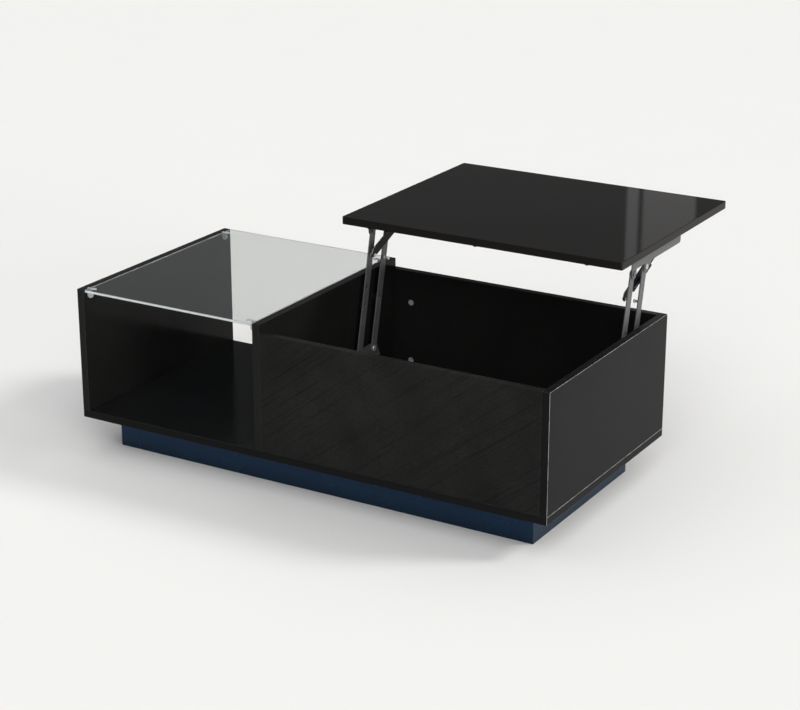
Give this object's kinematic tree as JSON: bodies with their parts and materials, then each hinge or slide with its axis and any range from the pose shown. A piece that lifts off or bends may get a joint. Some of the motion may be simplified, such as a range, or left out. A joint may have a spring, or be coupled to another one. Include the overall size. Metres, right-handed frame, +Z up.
{
  "type": "lift top coffee table",
  "caption": "Low rectangular coffee table: open shelf under a glass top at one end, storage bin with a lid that rises and shifts back on parallel arms at the other, on an inset plinth.",
  "frame": {"origin": "on the floor, under the middle of the cabinet, at the middle of the plinth rail's underside", "axes": "+X along the length towards the storage bin, -Y to the front, +Z up"},
  "size_m": [1, 0.7513, 0.4593],
  "materials": {
    "black_gloss_board": "black high gloss lacquer on particle board",
    "black_gloss_lid": "black high gloss lacquer on particle board",
    "blue_plinth_board": "navy blue satin film on particle board",
    "raw_wood": "raw beech",
    "clear_glass": "clear tempered glass with polished edges",
    "clear_clip": "clear moulded plastic",
    "bumper_rubber": "soft rubber",
    "grey_steel": "dark grey powder coat",
    "black_steel": "black powder coat",
    "bright_steel": "bright plated steel",
    "zinc_fastener": "zinc plated",
    "black_nylon": "moulded nylon"
  },
  "bodies": {
    "cabinet": {"base_panel": "black_gloss_board", "left_end_panel": "black_gloss_board", "partition_panel": "black_gloss_board", "right_end_panel": "black_gloss_board", "bin_front_panel": "black_gloss_board", "bin_back_panel": "black_gloss_board", "plinth_front": "blue_plinth_board", "plinth_back": "blue_plinth_board", "plinth_left": "blue_plinth_board", "plinth_right": "blue_plinth_board", "plinth_centre_rail": "blue_plinth_board", "plinth_corner_blocks": "raw_wood", "plinth_block_screws": "zinc_fastener", "plinth_dowels": "raw_wood", "panel_screws": "zinc_fastener", "panel_dowels": "raw_wood", "cam_locks": "zinc_fastener", "cam_bolts": "zinc_fastener", "glass_top": "clear_glass", "glass_clips": "clear_clip", "lower_bracket_left": "grey_steel", "lower_bracket_right": "grey_steel", "lower_bracket_screws": "zinc_fastener", "lower_pivot_pins": "bright_steel", "lower_pivot_washers": "black_nylon"},
    "front_arms": {"front_arm_left": "grey_steel", "front_arm_right": "grey_steel", "front_arm_studs": "bright_steel"},
    "rear_arms": {"rear_arm_left": "grey_steel", "rear_arm_right": "grey_steel", "rear_arm_studs": "bright_steel"},
    "lid": {"lid_board": "black_gloss_lid", "lid_bumpers": "bumper_rubber", "top_bracket_left": "grey_steel", "top_bracket_right": "grey_steel", "top_bracket_screws": "zinc_fastener", "front_upper_pins": "grey_steel", "rear_upper_pins": "zinc_fastener", "upper_pivot_washers": "black_nylon", "stay_pivot_pins": "grey_steel", "stay_pivot_spacers": "black_nylon"},
    "stays": {"stay_left": "black_steel", "stay_right": "black_steel"}
  },
  "joints": [
    {"name": "front_arms_swing", "type": "hinge", "parent": "cabinet", "child": "front_arms", "pos_m": [0.2, 0.081, 0.17], "axis": [1, 0, 0], "range_deg": [0, 77]},
    {"name": "lid_level", "type": "hinge", "parent": "front_arms", "child": "lid", "pos_m": [0.2, 0.13424, 0.41017], "axis": [1, 0, 0], "range_deg": [-77, 0]},
    {"name": "rear_arms_swing", "type": "hinge", "parent": "cabinet", "child": "rear_arms", "pos_m": [0.2, 0.134, 0.17], "axis": [1, 0, 0], "range_deg": [0, 77]},
    {"name": "stays_swing", "type": "hinge", "parent": "lid", "child": "stays", "pos_m": [0.2, 0.26524, 0.42626], "axis": [1, 0, 0], "range_deg": [-9.24, 0]}
  ],
  "couplings": [
    {"joint": "lid_level", "follows": "front_arms_swing", "ratio": -1},
    {"joint": "rear_arms_swing", "follows": "front_arms_swing", "ratio": 1},
    {"joint": "stays_swing", "follows": "front_arms_swing", "ratio": -0.12}
  ]
}
